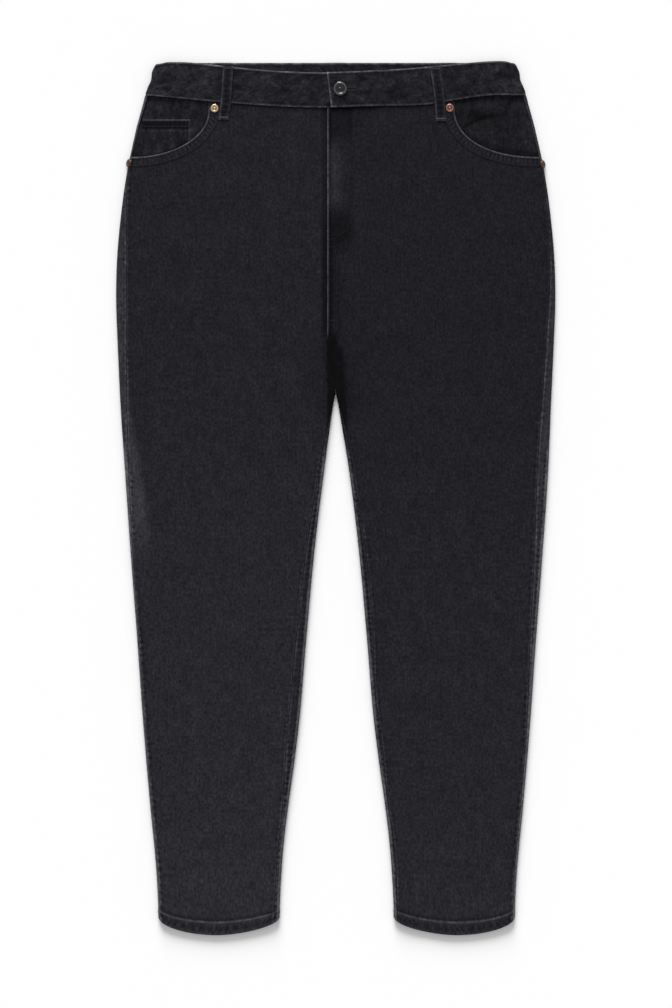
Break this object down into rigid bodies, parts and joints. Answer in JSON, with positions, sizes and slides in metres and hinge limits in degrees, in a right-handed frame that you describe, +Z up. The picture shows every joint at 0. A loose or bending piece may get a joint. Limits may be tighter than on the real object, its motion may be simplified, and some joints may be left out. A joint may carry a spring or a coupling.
{
  "type": "high-waist tapered denim jeans laid flat",
  "caption": "Black washed denim jeans laid flat on their back: high waist, curved front pockets, buttoned fly and long tapered legs.",
  "frame": {"origin": "middle of the laid garment's box, on the surface that it lies on", "axes": "+Y from the hems to the waist, +Z up off the surface out of the garment's front, +X to the wearer's left"},
  "size_m": [0.5274, 1.0493, 0.0133],
  "materials": {
    "denim": "matt washed twill",
    "denim_facing": "matt unwashed twill",
    "dark_metal": "dark antiqued",
    "brass": "worn satin"
  },
  "bodies": {
    "root": {"front_right": "denim", "front_left": "denim", "back_right": "denim", "back_left": "denim", "yoke_right": "denim", "yoke_left": "denim", "waistband": "denim", "fly_shield": "denim", "pocket_facing_right": "denim_facing", "pocket_facing_left": "denim_facing", "coin_pocket": "denim", "back_pocket_right": "denim", "back_pocket_left": "denim", "belt_loop_front_right": "denim", "belt_loop_front_left": "denim", "belt_loop_back_right": "denim", "belt_loop_back_centre": "denim", "belt_loop_back_left": "denim", "button": "dark_metal", "rivet_top_right": "brass", "rivet_top_left": "brass", "rivet_side_right": "brass", "rivet_side_left": "brass"}
  },
  "joints": []
}
